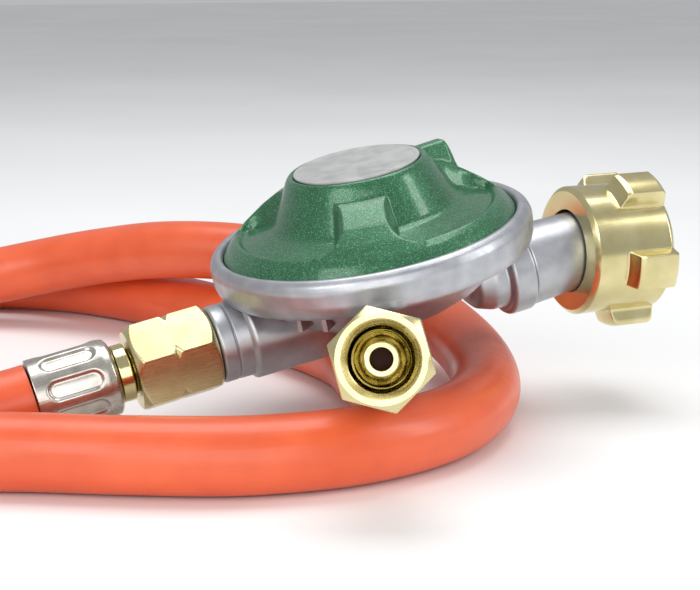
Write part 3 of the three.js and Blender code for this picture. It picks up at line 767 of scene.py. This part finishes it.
def make_hand_nut():
    """The cylinder nut: a turned shell joined with five lugs, and a left-hand threaded socket.

    At each height a lug reaches its own radius, but no further across than half its width, which
    is that half width over the sine of the angle from its middle. The thread is a triangle wave of
    0.5 mm in depth that climbs one pitch a turn. The nut sags about the middle of its rear wall.
    """
    columns = 720
    angle = np.linspace(0, 2 * math.pi, columns, endpoint=False)
    pitch = 2 * math.pi / LUG_COUNT
    turned = np.mod(angle - math.radians(LUG_START) + pitch / 2, pitch) - pitch / 2
    flank = LUG_HALF_WIDTH / np.maximum(np.abs(np.sin(turned)), 0.05)
    shell = [(0, 13.3), (0.9, HAND_NUT_R), (18.4, HAND_NUT_R), (HAND_NUT_LENGTH, 13.2)]
    lug = [(7.4, 13.0), (8.9, 17.3), (9.9, LUG_R), (17.5, LUG_R), (18.3, 17.3), (19.0, 13.0)]
    heights = np.concatenate([
        np.linspace(0, 1.4, 7), np.linspace(2, 6.8, 6), np.linspace(7.2, 10.6, 18),
        np.linspace(11.4, 16.6, 6), np.linspace(17.1, HAND_NUT_LENGTH, 15),
    ])
    rows = list(rings([(9.3, 0.0), (12.7, 0.0)], columns))
    for z in heights:
        base = np.interp(z, *zip(*shell))
        reach = np.interp(z, *zip(*lug), left=5, right=5)
        bump = smooth_min(reach + 0 * angle, flank, 0.9)
        radius = smooth_max(base + 0 * angle, bump, 0.5)
        rows.append(np.stack([radius * np.cos(angle), radius * np.sin(angle), z + 0 * angle], axis=1))
    rows += list(rings([(12.6, HAND_NUT_LENGTH), (12.1, HAND_NUT_LENGTH), (11.2, 18.4)], columns))
    for z in np.arange(18.1, 5.4, -0.3):
        wave = np.abs(np.mod(z / SOCKET_PITCH - angle / (2 * math.pi), 1) - 0.5) * 2
        radius = 10.45 + 0.5 * wave
        rows.append(np.stack([radius * np.cos(angle), radius * np.sin(angle), z + 0 * angle], axis=1))
    rows += list(rings([(10.9, 5.0), (10.9, 2.7), (10.8, HAND_NUT_WALL), (9.35, HAND_NUT_WALL),
                        (9.2, 2.4), (9.2, 0.1)],
                       columns))
    turn, shift = REGULATOR
    turn = turn @ turn_y(90 + HAND_NUT_SAG)
    middle = np.array([HAND_NUT_X + HAND_NUT_WALL / 2, 0, INLET_Z])
    where = (turn, REGULATOR_TURN @ middle + shift - turn @ np.array([0, 0, HAND_NUT_WALL / 2]))
    piece = make_piece("cylinder_nut", [skin(rows, closed=True)], where, sharp=38)
    finish = brass("cylinder_nut_brass", where, False, 0.2, 0.3)
    return dress(piece, finish, "hand_nut", "brass", "hand_nut")


def dress_inner_parts(brass_finish, rubber, steel):
    """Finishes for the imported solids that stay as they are, inside the regulator."""
    finishes = {
        "adjusting_disc": brass_finish, "diaphragm_stem": brass_finish, "valve_slider": brass_finish,
        "inlet_jet": brass_finish, "diaphragm": rubber, "valve_pad": rubber, "main_spring": steel,
        "diaphragm_plate": steel, "lever": steel, "lever_pin": steel, "inlet_filter": steel,
    }
    for node, material in finishes.items():
        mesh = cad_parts[node].data
        mesh.materials.clear()
        mesh.materials.append(material)


# ---- table, lights and camera ----
def make_table():
    """The flat table that the hose lies on, 6 m across. It is staging and not part of the object."""
    mesh = bpy.data.meshes.new("table")
    reach = 3.0
    z = TABLE / 1000
    mesh.from_pydata([(-reach, -reach, z), (reach, -reach, z), (reach, reach, z), (-reach, reach, z)],
                     [], [(0, 1, 2, 3)])
    mesh.materials.append(table_top())
    table = bpy.data.objects.new("table", mesh)
    bpy.context.scene.collection.objects.link(table)


def area_light(name, position, target, size, power, color=(1, 1, 1)):
    """A soft box of the given width and height in metres, turned to face the target."""
    data = bpy.data.lights.new(name, "AREA")
    data.shape = "RECTANGLE"
    data.size, data.size_y = size
    data.energy = power
    data.color = color
    light = bpy.data.objects.new(name, data)
    light.location = position
    direction = bpy.context.scene.cursor.location.copy()
    direction.xyz = [t - p for t, p in zip(target, position)]
    light.rotation_euler = direction.to_track_quat("-Z", "Y").to_euler()
    bpy.context.scene.collection.objects.link(light)


def light_the_scene():
    """A pale studio world with soft boxes above, to the left and in front, and a strip at the right."""
    world = bpy.data.worlds.new("studio")
    bpy.context.scene.world = world
    world.use_nodes = True
    background = world.node_tree.nodes["Background"]
    background.inputs["Color"].default_value = (0.95, 0.97, 1.0, 1)
    background.inputs["Strength"].default_value = 0.5
    middle = (-0.02, 0.0, -0.02)
    area_light("top_box", (0.05, 0.15, 0.75), middle, (0.7, 0.5), 3.9)
    area_light("left_box", (-0.7, -0.45, 0.45), middle, (0.45, 0.5), 2.3)
    area_light("right_strip", (0.55, -0.35, 0.3), middle, (0.15, 0.5), 1.4)
    area_light("front_box", (-0.2, -0.62, 0.14), middle, (0.6, 0.45), 1.7)


def place_camera():
    """The camera stands in front, turned 19.7 degrees to the right and 12 degrees down."""
    data = bpy.data.cameras.new("camera")
    data.sensor_width = 36
    data.lens = 82.3
    data.clip_start = 0.01
    camera = bpy.data.objects.new("camera", data)
    camera.location = (-0.1133, -0.3127, 0.0425)
    camera.rotation_euler = (math.radians(78), 0, math.radians(-19.7))
    bpy.context.scene.collection.objects.link(camera)
    bpy.context.scene.camera = camera


place_camera()
light_the_scene()
make_table()
make_fitting("outlet", OUTLET_FITTING, -24, 1)
make_hose(make_fitting("far", FAR_FITTING, 55, 2))

inner_brass = brass("inner_brass", along_inlet(0, INLET_Z), False)
rubber_finish = black_rubber()
make_cap()
make_label()
make_casting()
make_inlet(inner_brass, rubber_finish)
make_hand_nut()
dress_inner_parts(inner_brass, rubber_finish, plain_steel())

bpy.context.scene.view_settings.view_transform = "Standard"
